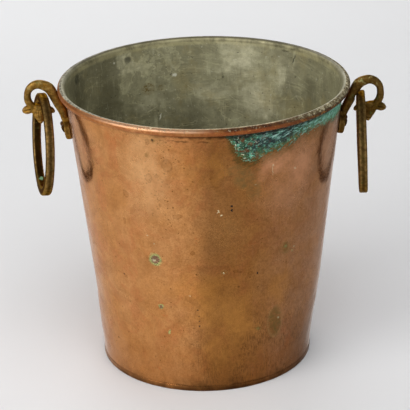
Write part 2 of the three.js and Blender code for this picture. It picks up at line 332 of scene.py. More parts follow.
# Marks on the wall by their kind. Each has its degrees right of the front, its height, half
# width and half height in mm and, where they aren't 1 and 0, its strength and its tilt.
MARKS = {
    # Green spots, the first with a pale pit.
    "green": [
        (-24.3, 122, 5.4, 5.4), (-23.5, 78.4, 2.2, 2.2), (-20, 55.3, 1.3, 2.6, 0.7, 20),
        (38, 126, 1.6, 1.6, 0.3), (42.5, 119.7, 1.3, 1.3, 0.3), (24.9, 55, 1.2, 1.2, 0.2),
    ],
    # Olive patches.
    "olive": [
        (35, 57, 8, 15, 0.5), (12, 203, 7, 6, 0.8), (16, 195, 9, 10, 1, -30), (20, 183, 7, 9, 0.75),
        (38, 124, 7, 6, 0.45), (-20, 229, 9, 4, 0.3), (8, 150, 12, 16, 0.3),
    ],
    # Moss green patches with a pale outline.
    "moss": [
        (35, 57, 6.8, 14, 0.75), (24.9, 55, 3.2, 2, 0.7, 15), (38, 125, 3.6, 5, 0.65),
        (7.4, 112.6, 2.6, 2.2, 0.5), (-21, 228.5, 2.4, 1.4, 0.6), (-24, 215.5, 1.3, 2.4, 0.5),
    ],
    # Sandy, duller copper beside the specks, and a golden patch low down.
    "sandy": [
        (-24, 196, 24, 52, 0.5),
    ],
    "gold": [
        (2, 76, 17, 36, 0.6), (14, 70, 20, 30, 0.7), (4, 40, 16, 18, 0.6), (36, 86, 18, 26, 0.4),
        (2, 205, 9, 14, 0.5),
    ],
    # Dull rosy copper below the verdigris.
    "rosy": [
        (29, 203, 20, 15, 1, -20), (42, 196, 22, 26, 0.8), (34, 176, 24, 26, 0.45),
    ],
    # Brown stains.
    "brown": [
        (-15.6, 208, 4.2, 5, 0.55), (-23.9, 195.4, 2.6, 3.4, 0.75), (-20.4, 198, 1.6, 1.2, 0.7),
        (-23.3, 227, 1.6, 2.2, 0.8), (-23.6, 216, 1.3, 2.4, 0.6), (-36, 177.5, 2.2, 3.2, 0.6, -35),
        (-33, 165, 1.8, 5, 0.4, 25), (-38.5, 152, 1.2, 2.6, 0.65), (-12.5, 163.5, 3.6, 1.8, 0.6, -15),
        (3.3, 209.7, 4.5, 3.6, 0.45), (4.5, 198, 5, 8, 0.35), (-42.5, 99.6, 2.2, 1, 0.7, 30),
        (13.5, 112, 3.4, 0.9, 0.7, 18), (20, 109, 2.2, 1.6, 0.5), (24.9, 55, 5, 1.2, 0.5, 15),
        (-6.6, 130.8, 1.6, 1.6, 0.8), (3, 96, 2.4, 1.4, 0.5),
    ],
    # Reddish spots.
    "red": [
        (-3, 142.7, 3.3, 2.8, 0.7), (-40.7, 224, 6, 6, 0.45), (-20.5, 77.5, 1.8, 1.8, 0.7),
        (20, 138, 6, 3, 0.4), (-27.3, 17.7, 2.6, 1.8, 0.8), (44, 40, 5, 16, 0.4),
    ],
    # Black pin holes.
    "black": [
        (10.7, 172.5, 0.9, 0.9), (10.7, 168.3, 1.1, 1.1), (23.4, 108, 0.9, 0.9),
        (-5.2, 78, 0.8, 0.8, 0.8), (-4.8, 72, 0.6, 0.6, 0.8), (-4.6, 67, 0.6, 0.6, 0.8),
        (-4.6, 63, 0.8, 0.8, 0.8), (-43.5, 100.4, 0.7, 0.7), (-21, 229, 0.9, 0.9, 0.8),
    ],
    # White specks and a scratch.
    "white": [
        (4.9, 168, 0.7, 1.8, 1, 35), (6.4, 164.8, 0.8, 1.4, 1, 35), (-24.2, 136.4, 0.6, 0.6),
        (-27, 143.5, 0.6, 0.6, 0.7), (-25.1, 121.4, 1.6, 1.3, 0.9), (28.4, 198.6, 0.35, 4.6, 0.6, -4),
        (28.7, 202.4, 0.7, 1.2, 0.9), (39.9, 195, 0.9, 0.8, 0.7), (20.9, 188.4, 1.3, 0.5, 0.6),
        (7.2, 111.9, 0.7, 0.7, 0.8), (-8.8, 91, 0.6, 0.6, 0.7), (43.5, 122.4, 0.6, 0.6, 0.9),
        (37, 60, 0.7, 1.1, 0.7),
    ],
    # On the lining, with the degrees counted from the back: limy patches, partly painted light.
    "pale": [
        (17, 224, 18, 20, 0.7), (38, 216, 15, 16, 0.5), (27, 188, 22, 18, 0.85),
        (28, 180, 18, 12, 0.95), (3, 196, 18, 10, 0.5), (-36, 224, 20, 12, 0.55),
        (-27, 187, 12, 9, 0.45),
    ],
    # Tide marks of dried liquid.
    "tide": [
        (-31, 224, 13, 9, 0.6, -12), (-28, 219, 10, 5, 0.5, -8), (-37, 212, 8, 14, 0.45, 10),
        (-17, 226, 12, 6, 0.4), (-22, 205, 14, 10, 0.3),
    ],
    # Dark patches, partly painted shade.
    "dim": [
        (-72, 216, 26, 34), (-50, 196, 18, 30, 0.8), (-10, 168, 34, 20), (-34, 176, 20, 18, 0.6),
        (9, 172, 10, 12, 0.7), (43, 204, 9, 24, 0.55), (56, 204, 12, 24, 0.7), (66, 180, 18, 20, 0.6),
    ],
    # Brown stains, dark spots and chalky marks.
    "stain": [
        (-26.1, 199.8, 6, 5.4), (-20, 199, 3.4, 3, 0.7), (-8, 198, 1.2, 2.4, 0.8),
    ],
    "spot": [
        (-35.3, 229, 3.4, 3, 0.75), (-70, 230.5, 4.5, 4, 0.8), (38.6, 235.2, 4.4, 0.8, 0.9),
        (43.5, 229.5, 0.7, 4.2, 0.9, 28),
    ],
    "chalk": [
        (-13.1, 209, 2, 1.6), (-21.1, 173.2, 0.6, 3.2, 0.9, 15), (-42.5, 229, 1, 0.8, 0.8),
    ],
}

# Marks that fade out from their middle, and marks with a widely wandering outline.
SOFT_KINDS = ("pale", "dim", "rosy", "red", "sandy", "gold")
DRIFTING_KINDS = SOFT_KINDS + ("tide",)


class WallShading(Shading):
    """Shading of the pot, which knows its own height and radius in metres, and the way round
    it in degrees from the front, or from the back where facing is 1."""

    def __init__(self, name, facing):
        super().__init__(name)
        x, y, self.height = node("ShaderNodeSeparateXYZ", {0: self.place}).node.outputs
        flat = vector("MULTIPLY", self.place, (1, 1, 0))
        self.radius = vector("LENGTH", flat, output=1)
        azimuth = calculate("ARCTAN2", x, times(y, facing))
        self.degrees = times(azimuth, 180 / math.pi)
        around = times(azimuth, self.radius)
        self.unrolled = node("ShaderNodeCombineXYZ", {0: around, 1: self.height})
        self.ragged = self.warped(420, 3, 0.65, 3.4 * MM)
        self.drifting = self.warped(52, 5, 0.62, 50 * MM)

    def sector(self, *ends):
        """A window of the way round, in degrees."""
        return window(self.degrees, *ends)

    def belt(self, *ends):
        """A window of the height, in metres."""
        return window(self.height, *ends)

    def warped(self, scale, detail, roughness, size):
        """The unrolled wall with its places pushed about by a noise, by half the size at most."""
        push = noise(self.place, scale, detail, roughness, output=1)
        push = vector("SUBTRACT", push, (0.5, 0.5, 0.5))
        return vector("ADD", self.unrolled, vector("MULTIPLY", push, (size, size, 0)))

    def marks(self, kind):
        """Where the wall carries marks of one kind, from 0 to 1. Brown stains and tide marks
        are strongest at their edges."""
        warped = self.drifting if kind in DRIFTING_KINDS else self.ragged
        found = []
        for degrees, height, wide, tall, *rest in MARKS[kind]:
            strength, tilt = rest + [1, 0][len(rest):]
            around = math.radians(degrees) * wall_outer(height * MM)
            offset = vector("SUBTRACT", warped, (around, height * MM, 0))
            if tilt:
                offset = turned(offset, tilt)
            scaled = vector("MULTIPLY", offset, (1 / (wide * MM), 1 / (tall * MM), 0))
            reach = vector("LENGTH", scaled, output=1)
            covered = between(reach, 1.3, 0.0 if kind in SOFT_KINDS else 0.6)
            if kind == "brown":
                rim = window(reach, 0.55, 0.95, 1.0, 1.3)
                covered = most(rim, times(covered, 0.5))
            if kind == "tide":
                covered = window(reach, 0.3, 0.96, 0.98, 1.06)
            found.append(times(covered, strength))
        return most(*found)


def copper_body(shade, mottle):
    """Bare copper: thin oxide and painted light left of the front, thick oxide and painted shade to the
    right.
    """
    cloudy = clouds(shade.place, 16, 0.36, 0.64, detail=5, roughness=0.6, distortion=0.4)
    patches = clouds(shade.moved(3, 1, 2), 45, 0.35, 0.68, detail=5, roughness=0.62)
    blotch = clouds(shade.moved(6, 2, 9), 34, 0.47, 0.66, detail=7, roughness=0.72, distortion=1.2)
    wandered = shifted(shade.degrees, cloudy, 16)
    # Thick film and painted shade where this is 1; the left of the front stays paler as painted light.
    film_and_shade = most(window(wandered, -26, 12, 100, 150), between(wandered, -95, -130))
    film_and_shade = calculate("ADD", times(film_and_shade, 0.72), times(patches, 0.24), clamp=True)
    shade.colour = mix(film_and_shade, (222, 158, 100), (216, 146, 78))
    shade.coat((208, 134, 60), cloudy, 0.35)
    ruddy = clouds(shade.moved(2, 6, 4), 38, 0.46, 0.64, detail=5, roughness=0.66, distortion=0.6)
    shade.coat((206, 122, 74), ruddy, 0.42)
    pink = shade.sector(16, 46, 80, 120)
    shade.coat((206, 152, 114), pink, blend(patches, 0.85, 0.45))
    shade.coat((150, 92, 44), blotch, 0.3)
    shade.coat((150, 96, 48), mottle, 0.26)

    # The foot is darker, most of all on its right: painted shade near the floor, with some grime.
    low = shade.belt(0.07, 0.0)
    shade.coat((156, 88, 34), low, 0.48)
    wavering = plus(shade.height, times(patches, 0.008))
    lowest = times(between(wavering, 0.017, 0.003), shade.sector(-85, -30, 140, 170))
    shade.coat((98, 64, 32), lowest, blend(blotch, 0.5, 0.9))
    # Painted reflection of the floor's shadow, low on the right.
    corner = times(shade.belt(0.085, 0.01), shade.sector(34, 62, 90, 120))
    shade.coat((88, 50, 22), corner, 0.58)

    # Streaks drawn up the wall, dark ones and pale rubbed ones, strongest on the right.
    drawn = noise(stretched(shade.unrolled, 1, 0.05), 420, detail=5, roughness=0.65)
    streaks = times(between(drawn, 0.5, 0.72), between(shade.degrees, 0, 36, 0.1, 0.3))
    shade.coat((146, 90, 52), streaks, blend(patches, 0.4, 1.0))
    lightened = times(between(drawn, 0.46, 0.3), between(shade.degrees, 0, 36, 0.05, 0.2))
    shade.coat((230, 170, 124), lightened)


def copper_specks(shade):
    """Dark specks everywhere, dense in a streak left of the middle, and fine grain between."""
    fine = noise(shade.moved(4, 9, 6), 900, detail=4, roughness=0.7)
    streak = between(away(shade.degrees, -19), 12, 2)
    dense = times(streak, shade.belt(0.13, 0.19, 0.232, 0.236))
    clumps = clouds(shade.moved(4, 2, 3), 55, 0.42, 0.62, detail=4, roughness=0.6)
    edge = minus(0.66, times(clumps, 0.035))
    dots = between(minus(fine, edge), 0, 0.05, 0, 0.7)
    crowd = blend(times(dense, blend(clumps, 0.45, 1.0)), times(clumps, 0.1), 0.9)
    large = specks(shade.moved(1, 1, 4), 240, times(crowd, 0.3), 0.32)
    small = specks(shade.moved(5, 3, 3), 500, crowd, 0.42)
    dots = most(dots, times(large, 0.7), times(small, 0.75))
    grain = between(noise(shade.moved(1, 3, 5), 640, detail=4, roughness=0.75), 0.42, 0.62)
    right = shade.sector(-30, 10, 130, 180)
    grain = times(grain, blend(right, 0.26, 0.42))
    return dots, grain


def copper_scuffs(shade):
    """Short upright scuffs round the foot, most of them on the right of the front."""
    upright = noise(stretched(shade.unrolled, 1, 0.2), 900, detail=5, roughness=0.75)
    crowded = clouds(shade.moved(6, 7, 7), 60, 0.32, 0.6, detail=4, roughness=0.6)
    low = between(shade.height, 0.13, 0.02, 0.15, 1)
    right = most(shade.sector(-30, 10, 150, 180), 0.3)
    return times(between(upright, 0.47, 0.56), crowded, low, right, 0.55)


def copper_grime_and_shade(shade, mottle):
    """Painted shade under the bead, grime and painted shade along the foot, and, faintly, a scored line
    below the bead.
    """
    wavy = shifted(shade.height, mottle, 1.6 * MM)
    broken = clouds(shade.moved(8, 8, 1), 120, 0.36, 0.62, detail=4)
    right = shade.sector(-46, 4, 130, 180)
    # Painted shade in a band under the bead, deeper to the right.
    under_bead_shade = window(wavy, 0.2306, 0.2336, 0.2347, 0.2354)
    under_bead_shade = times(under_bead_shade, blend(right, 0.15, 0.85))
    scored = window(wavy, 0.2284, 0.2290, 0.2296, 0.2302)
    scored = times(scored, shade.sector(-30, -12, 12, 24), broken, 0.5)
    # Grime with painted shade along the seam at the foot and over the pan near the floor.
    foot = window(wavy, 0.0036, 0.0044, 0.0052, 0.0062)
    foot = times(foot, broken, shade.sector(-50, -20, 30, 60), 0.45)
    pan = times(shade.belt(0.0062, 0.0012), blend(broken, 0.35, 0.75))
    return most(under_bead_shade, scored, foot, pan)


def verdigris(shade, bloom):
    """Verdigris in a torn, streaky band that hangs from the bead, deepest at its left end."""
    across = between(shade.degrees, 4, 84, curve="LINEAR")
    hang = node("ShaderNodeFloatCurve", {"Value": across})
    curve = hang.node.mapping.curves[0]
    depths = [(0, -0.2), (0.05, 0.1), (0.09, 0.5), (0.13, 0.84), (0.17, 0.93), (0.25, 0.84),
              (0.34, 0.74), (0.43, 0.58), (0.52, 0.48), (0.7, 0.5), (0.81, 0.6), (0.93, 0.55),
              (1, -0.1)]
    curve.points[0].location = depths[0]
    curve.points[1].location = depths[-1]
    for point in depths[1:-1]:
        curve.points.new(*point)
    hang.node.mapping.update()

    # How far inside the torn lower edge each place is.
    along = stretched(turned(shade.unrolled, -16), 0.28, 1)
    tear = noise(shade.moved(2, 8, 3), 230, detail=7, roughness=0.74, distortion=0.6)
    wisps = noise(along, 620, detail=5, roughness=0.7, distortion=0.5)
    torn = shifted(hang, blend(0.5, tear, wisps), 1.5)
    down = calculate("DIVIDE", minus(VERDIGRIS_TOP, shade.height), VERDIGRIS_DEPTH)
    inside = minus(torn, down)
    below_bead = shade.belt(0.2362, 0.2348)
    halo = times(between(inside, -0.42, 0.05), between(hang, 0.05, 0.3), below_bead)
    shade.coat((104, 88, 44), halo, blend(shade.sector(26, 19), 0.5, 0.85))
    solid = times(between(inside, 0.0, 0.1), below_bead)

    thin = between(inside, 0.3, 0.02)
    swirls = noise(shade.moved(8, 1, 6), 150, detail=6, roughness=0.72, distortion=1.1)
    tone = blend(0.4, swirls, wisps)
    left_end = shade.sector(27, 19)
    right_end = shade.sector(42, 54)
    base = mix(between(tone, 0.4, 0.56), (32, 44, 34), (72, 128, 92))
    night = clouds(shade.moved(0, 4, 0), 95, 0.4, 0.56)
    night = times(night, shade.sector(15, 20, 34, 46), between(thin, 0.8, 0.2), 0.9)
    base = mix(night, base, (42, 60, 62))
    fresh = mix(between(tone, 0.4, 0.6), (104, 176, 142), (150, 226, 190))
    base = mix(times(right_end, 0.85), base, fresh)
    base = mix(times(thin, blend(bloom, 0.9, 0.5)), base, (98, 112, 60))

    # Curled and drawn strokes of paler, newer growth.
    curls = noise(shade.moved(3, 7, 5), 85, detail=5, roughness=0.62, distortion=1.6)
    arcs = times(between(away(curls, 0.5), 0.04, 0.006), between(tone, 0.44, 0.54))
    patina = mix(times(arcs, blend(left_end, 0.4, 0.95)), base, (140, 226, 192))
    near_bead = times(shade.belt(0.2225, 0.2285), between(left_end, 0.8, 0.2))
    drawn = times(between(wisps, 0.48, 0.58), near_bead)
    patina = mix(times(drawn, 0.85), patina, (164, 222, 208))
    streak = clouds(shade.moved(7, 3, 2), 110, 0.4, 0.56)
    streak = times(streak, between(wisps, 0.56, 0.66))
    patina = mix(times(streak, blend(thin, 0.9, 0.5)), patina, (206, 242, 228))
    crust = clouds(shade.moved(5, 2, 8), 420, 0.58, 0.66, detail=4, roughness=0.7)
    patina = mix(times(crust, left_end, 0.9), patina, (226, 228, 196))
    bare = clouds(shade.moved(9, 1, 3), 130, 0.54, 0.6, detail=5, roughness=0.7)
    bare = times(bare, blend(left_end, 0.25, 1.0))
    patina = mix(times(bare, 0.85), patina, (120, 68, 34))
    shade.coat(patina, solid)

    # Painted shadow in the gap between the bead and the crust.
    gap = times(shade.belt(0.2300, 0.2318, 0.2354, 0.2364), shade.sector(2, 10, 80, 95), 0.85)
    shade.coat((34, 28, 20), gap, blend(bloom, 0.95, 0.5))
    return times(solid, blend(bare, 1.0, 0.4))


def bead_wear_and_highlight(shade, on_bead):
    """The rolled bead: painted highlight and wear on the left, red then crusted to the right, grey
    behind.
    """
    worn = clouds(shade.moved(1, 7, 7), 260, 0.4, 0.62, detail=5, roughness=0.7)
    chips = clouds(shade.moved(3, 5, 9), 520, 0.56, 0.64, detail=4, roughness=0.7)
    top = shade.belt(0.2378, 0.2396)
    red = times(on_bead, shade.sector(-4, 12, 150, 190))
    crusted = times(on_bead, shade.sector(22, 50, 130, 170))
    behind = most(shade.sector(110, 150), shade.sector(-88, -110))
    behind = times(on_bead, behind)
    shade.coat((166, 92, 48), on_bead, blend(worn, 0.15, 0.7))
    # Painted highlight on the top of the bead, left of the front, broken by wear.
    lightened = times(on_bead, top, shade.sector(-62, -30, -6, 6))
    shade.coat((236, 190, 152), lightened, blend(worn, 0.6, 0.9))
    ruddy = mix(top, (158, 80, 34), (66, 34, 16))
    shade.coat(ruddy, red, blend(worn, 0.7, 1.0))
    shade.coat(mix(top, (56, 40, 22), (104, 92, 62)), crusted, blend(worn, 1.0, 0.8))
    shade.coat((74, 68, 46), behind, blend(worn, 0.95, 0.7))
    reach = between(shade.degrees, -28, -72, 0, 0.0014)
    inner = between(minus(shade.radius, reach), 0.1174, 0.1167)
    tinned = times(on_bead, inner, shade.sector(-20, -32))
    edge = times(on_bead, between(shade.radius, 0.1180, 0.1175), shade.sector(-34, -14, 26, 40),
                 blend(worn, 1.0, 0.35))
    shade.coat((206, 188, 150), edge)
    shade.coat(mix(worn, (178, 172, 150), (112, 106, 86)), tinned)
    cream = clouds(shade.moved(3, 5, 9), 330, 0.52, 0.59, detail=5, roughness=0.75)
    chips = most(chips, times(cream, shade.sector(30, 42, 100, 130)))
    flaked = times(on_bead, shade.sector(-34, -24, -10, -2))
    pale = times(chips, top, most(crusted, times(red, 0.5), flaked))
    shade.coat((210, 200, 162), pale, 0.9)
    gilt = times(chips, red, between(top, 0.6, 0.1))
    shade.coat((204, 140, 62), gilt, 0.6)
    dulled = most(times(crusted, 0.85), times(red, blend(worn, 0.3, 0.75)), pale)
    return most(dulled, tinned, edge, times(behind, 0.7))


def copper_shading():
    shade = WallShading("aged_copper", facing=-1)
    mottle = clouds(shade.moved(7, 5, 1), 150, 0.3, 0.7, detail=5, roughness=0.65)
    bloom = clouds(stretched(shade.unrolled, 0.55, 1), 300, 0.4, 0.64, detail=6, roughness=0.72,
                   distortion=0.8)
    copper_body(shade, mottle)
    dots, grain = copper_specks(shade)
    shade.coat((146, 94, 48), grain)
    shade.coat((122, 78, 34), dots)
    shade.coat((98, 60, 30), copper_scuffs(shade))

    kinds = ("brown", "olive", "red", "black", "green", "white")
    brown, olive, red, black, green, white = map(shade.marks, kinds)
    olive = times(olive, blend(bloom, 0.45, 1.0))
    shade.coat((134, 80, 32), brown, 0.8)
    shade.coat((198, 104, 54), red, 0.6)
    rosy = times(shade.marks("rosy"), blend(mottle, 1.0, 0.7))
    shade.coat((226, 160, 116), rosy, 0.9)
    sandy = times(shade.marks("sandy"), blend(mottle, 1.0, 0.6))
    shade.coat((236, 184, 128), sandy)
    gold = times(shade.marks("gold"), blend(mottle, 0.9, 0.6))
    shade.coat((244, 168, 84), gold)
    shade.coat((118, 94, 46), olive, 0.85)
    moss = shade.marks("moss")
    outline = window(moss, 0.02, 0.15, 0.3, 0.5)
    shade.coat((226, 176, 116), outline, blend(mottle, 0.0, 0.3))
    mossy = mix(bloom, (140, 92, 36), (116, 100, 44))
    shade.coat(mossy, moss, blend(bloom, 0.65, 0.95))
    spots = mix(between(green, 0.9, 1.0), (176, 190, 116), (150, 112, 82))
    shade.coat(spots, green)

    # Grime with painted shade, under the bead and along the foot.
    grime_and_shade = copper_grime_and_shade(shade, mottle)
    shade.coat((64, 38, 20), grime_and_shade)
    # Painted shade on the underside of the bead and the wall just below it.
    under = between(shade.radius, 0.1158, 0.1145)
    shade.coat((40, 24, 16), under, shade.belt(0.2340, 0.2354))
    shade.coat((40, 24, 14), black)
    crust = verdigris(shade, bloom)
    on_bead = between(shade.radius, 0.1151, 0.1157)
    dulled = bead_wear_and_highlight(shade, on_bead)
    shade.coat((212, 200, 160), white, 0.85)

    dull = most(crust, green, white, dulled, times(olive, 0.55), times(black, 0.7), times(moss, 0.3))
    metallic = blend(dull, blend(most(rosy, sandy), 1.0, 0.5), 0.0)
    hazy = clouds(shade.moved(9, 9, 2), 60, 0.4, 0.66, detail=5, roughness=0.6)
    roughness = plus(blend(mottle, 0.16, 0.22), times(hazy, 0.12))
    roughness = blend(most(rosy, sandy), roughness, 0.48)
    fine = noise(shade.place, 900, roughness=0.7)
    roughness = shifted(roughness, fine, 0.14)
    stained = most(times(grime_and_shade, 0.6), times(brown, 0.35), times(dots, 0.5), times(on_bead, 0.6))
    roughness = blend(stained, roughness, 0.6)
    roughness = blend(dull, roughness, 0.85)

    drawn = noise(stretched(shade.unrolled, 1, 0.16), 1500)
    normal = bump(drawn, 0.02 * MM, 0.5)
    normal = bump(minus(1, most(dots, black, white)), 0.1 * MM, 0.6, normal)
    beaten = noise(shade.place, 70, roughness=0.45)
    normal = bump(beaten, between(shade.degrees, 20, 60, 0.8 * MM, 1.2 * MM), 0.5, normal)
    raised = times(bloom, most(crust, green, dulled))
    normal = bump(raised, 1.1 * MM, 0.9, normal)
    return shade.finish(roughness, metallic, normal, Specular_Tint=COPPER_EDGE)


def tin_shading():
    """Old tin: grey-green, dark and limy in places, partly painted shade and light, with tide lines and
    scratches.
    """
    shade = WallShading("old_tin", facing=1)
    cloudy = clouds(shade.place, 17, 0.36, 0.66, detail=6, roughness=0.66, distortion=0.7)
    patches = clouds(shade.moved(2, 2, 5), 58, 0.36, 0.66, detail=7, roughness=0.72, distortion=0.5)
    mottle = clouds(shade.moved(5, 1, 8), 190, 0.34, 0.68, detail=5, roughness=0.7)
    grain = noise(shade.place, 800, detail=4, roughness=0.7)
    shade.colour = mix(cloudy, (144, 140, 109), (171, 167, 133))
    shade.coat((118, 113, 84), patches, 0.5)
    # Limy patches, partly painted light on the inner right, and dark patches, partly painted shade on
    # the inner left.
    pale = times(shade.marks("pale"), blend(patches, 1.0, 0.45))
    shade.coat((236, 230, 194), pale, 0.9)
    dim = times(shade.marks("dim"), blend(mottle, 0.8, 1.0))
    shade.coat((82, 78, 56), dim, 0.85)
    shade.coat((112, 107, 80), mottle, 0.3)
    yellow = clouds(shade.moved(3, 3, 3), 30, 0.5, 0.68, detail=5, roughness=0.65)
    shade.coat((158, 143, 94), yellow, 0.4)

    # Tide lines, left where liquid dried.
    level = noise(stretched(shade.unrolled, 0.4, 1), 46, detail=4, distortion=1.4)
    tide = times(between(away(level, 0.52), 0.014, 0.0), blend(patches, 1.0, 0.2))
    shade.coat((204, 198, 156), tide, 0.4)
    ring = shade.marks("tide")
    shade.coat((216, 210, 168), ring, blend(mottle, 0.9, 0.5))
    # The lining is darker left of a wandering upright edge: painted shade on the inner left.
    darker_left = window(shifted(shade.degrees, level, 12), -80, -46, -42, -40)
    shade.coat((94, 90, 66), darker_left, 0.5)

    # Drips and streaks down the wall, and scratches across it.
    drips = noise(stretched(shade.unrolled, 1, 0.14), 190, detail=5, roughness=0.68)
    shade.coat((214, 210, 174), between(drips, 0.54, 0.7), blend(patches, 0.4, 0.1))
    shade.coat((104, 101, 76), between(drips, 0.44, 0.3), blend(cloudy, 0.45, 0.1))
    for tilt, thickness in ((38, 0.74), (-20, 0.75), (80, 0.73)):
        drawn = stretched(turned(shade.unrolled, tilt), 0.05, 1)
        scratch = clouds(drawn, 700, thickness, thickness + 0.03, detail=1)
        shade.coat((208, 204, 174), scratch, 0.35)

    stain, spot, chalk = map(shade.marks, ("stain", "spot", "chalk"))
    speckled = specks(shade.moved(4, 4, 6), 520, 0.75, 0.55)
    shade.coat((112, 90, 34), stain, blend(speckled, 0.3, 1.0))
    shade.coat((44, 46, 34), spot, 0.85)
    fleck = clouds(shade.moved(1, 6, 2), 430, 0.71, 0.75, detail=1)
    shade.coat((214, 212, 190), most(times(fleck, 0.35), chalk))
    pits = clouds(shade.moved(6, 6, 1), 380, 0.7, 0.75, detail=1)
    shade.coat((64, 60, 42), pits, 0.6)

    # On the bead the tin is dark behind, with a painted highlight line where the bead meets the wall.
    on_bead = shade.belt(0.2362, 0.2374)
    behind = between(away(shade.degrees), 96, 62)
    uneven = mix(patches, (176, 168, 128), (100, 95, 66))
    shade.coat(mix(behind, (150, 144, 120), uneven), on_bead, blend(behind, 0.35, 0.9))
    crown = times(shade.belt(0.2398, 0.2404), behind)
    shade.coat((82, 76, 52), crown, 0.85)
    # Painted highlight line along the foot of the bead behind.
    highlight_line = shade.belt(0.2336, 0.2356, 0.2366, 0.2376)
    shade.coat((200, 190, 140), highlight_line, behind, blend(patches, 0.45, 0.1))
    front = between(away(shade.degrees), 100, 130)
    shade.coat((198, 192, 168), on_bead, front, 0.6)

    roughness = blend(patches, 0.4, 0.58)
    normal = bump(grain, 0.06 * MM, 0.5)
    normal = bump(minus(mottle, times(pits, 2)), 0.1 * MM, 0.5, normal)
    normal = bump(level, 1.6 * MM, 0.5, normal)
    normal = bump(noise(shade.place, 48), 1.1 * MM, 0.5, normal)
    return shade.finish(roughness, 0.25, normal)


def brass_shading(name, golden_and_light):
    """Cast brass under a brown skin; golden_and_light: how much of its own colour shows, partly painted
    light.
    """
    shade = Shading(name)
    place = shade.place
    height = node("ShaderNodeSeparateXYZ", {0: place}, output=2)
    cloudy = clouds(place, 70, 0.38, 0.64, detail=4)
    mottle = clouds(place, 300, 0.36, 0.64, detail=6, roughness=0.72)
    grain = noise(place, 1400, roughness=0.6)
    stored = shade.tree.nodes.new("ShaderNodeAttribute")
    stored.attribute_name = "edge"
    edge = stored.outputs["Fac"]
    worn = between(edge, 0.54, 0.82)
    hollow = between(edge, 0.47, 0.22)
    shade.colour = mix(cloudy, (58, 38, 13), (76, 52, 18))
    gold = mix(cloudy, (184, 134, 52), (204, 156, 76))
    shade.coat(gold, golden_and_light)
    shade.coat((54, 36, 14), mottle, 0.55)
    olive = clouds(shade.moved(4, 1, 1), 110, 0.5, 0.66, detail=5, roughness=0.65)
    shade.coat((84, 76, 30), olive, 0.5)
    # Pale proud edges: worn brass and, partly, a painted highlight on the edges and bevels.
    shade.coat((188, 152, 92), worn, blend(mottle, 0.75, 0.3))
    shade.coat((28, 19, 9), hollow, 0.85)
    limy = clouds(shade.moved(2, 4, 1), 260, 0.5, 0.6, detail=5, roughness=0.7)
    limy = times(limy, between(height, 0.231, 0.238))
    shade.coat((190, 182, 122), limy, 0.85 - 0.7 * golden_and_light)
    green = clouds(shade.moved(2, 4, 1), 160, 0.64, 0.72, detail=4)
    shade.coat((104, 112, 62), green, 0.5)
    grey = times(between(height, 0.154, 0.146), blend(mottle, 0.45, 0.1))
    shade.coat((128, 112, 92), grey)
    spot_away = vector("LENGTH", vector("SUBTRACT", place, RING_SPOT), output=1)
    ragged = shifted(spot_away, mottle, 1.2 * MM)
    mint = between(ragged, RING_SPOT_REACH, RING_SPOT_REACH / 2)
    shade.coat((124, 168, 128), mint)
    dull = most(mint, times(limy, 0.5), times(grey, 0.4))
    roughness = blend(mottle, 0.48, 0.64)
    roughness = blend(most(hollow, dull), roughness, 0.8)
    normal = bump(grain, 0.08 * MM, 0.5)
    normal = bump(noise(place, 260, detail=5, roughness=0.66), 0.6 * MM, 0.55, normal)
    return shade.finish(roughness, blend(dull, 1.0, 0.1), normal, Specular_Tint=BRASS_EDGE)


def rivet_shading():
    shade = Shading("dull_rivet")
    mottle = clouds(shade.place, 420, 0.35, 0.66, detail=5, roughness=0.65)
    grain = noise(shade.place, 1600, roughness=0.6)
    shade.colour = mix(mottle, (104, 70, 38), (68, 44, 24))
    roughness = blend(mottle, 0.36, 0.55)
    normal = bump(grain, 0.1 * MM, 0.6)
    return shade.finish(roughness, 0.9, normal)


def iron_shading():
    shade = Shading("rim_iron")
    rust = clouds(shade.place, 240, 0.4, 0.62, detail=5, roughness=0.65)
    shade.colour = mix(rust, (74, 68, 62), (96, 58, 34))
    normal = bump(noise(shade.place, 900, detail=4), 0.1 * MM, 0.6)
    return shade.finish(blend(rust, 0.5, 0.85), blend(rust, 0.9, 0.1), normal)


copper = copper_shading()
tin = tin_shading()
ring_brass = brass_shading("ring_brass", 0.0)
# The left hook is more golden and the right one darker, partly as painted light from the left and
# painted shade.
hook_brass = {
    "left": brass_shading("left_hook_brass", 0.8),
    "right": brass_shading("right_hook_brass", 0.3),
}
rivet_copper = rivet_shading()
iron = iron_shading()


# Meshes.

def mesh_object(name, points, faces, materials, choice=None):
    """An object of these points and faces; choice gives each face's material."""
    mesh = bpy.data.meshes.new(name)
    mesh.from_pydata([tuple(p) for p in points], [], faces)
    for material in materials:
        mesh.materials.append(material)
    if choice is not None:
        mesh.polygons.foreach_set("material_index", choice)
    mesh.polygons.foreach_set("use_smooth", [True] * len(faces))
    mesh.update()
    made = bpy.data.objects.new(name, mesh)
    bpy.context.scene.collection.objects.link(made)
    return made


def rows_of(mesh, what):
    """The places, co, or directions, normal, of a mesh's points, with a row for each."""
    values = np.zeros(len(mesh.vertices) * 3)
    mesh.vertices.foreach_get(what, values)
    return values.reshape(-1, 3)


def move_points(mesh, places):
    mesh.vertices.foreach_set("co", places.ravel())
    mesh.update()


def cover(made, material):
    made.data.materials.clear()
    made.data.materials.append(material)


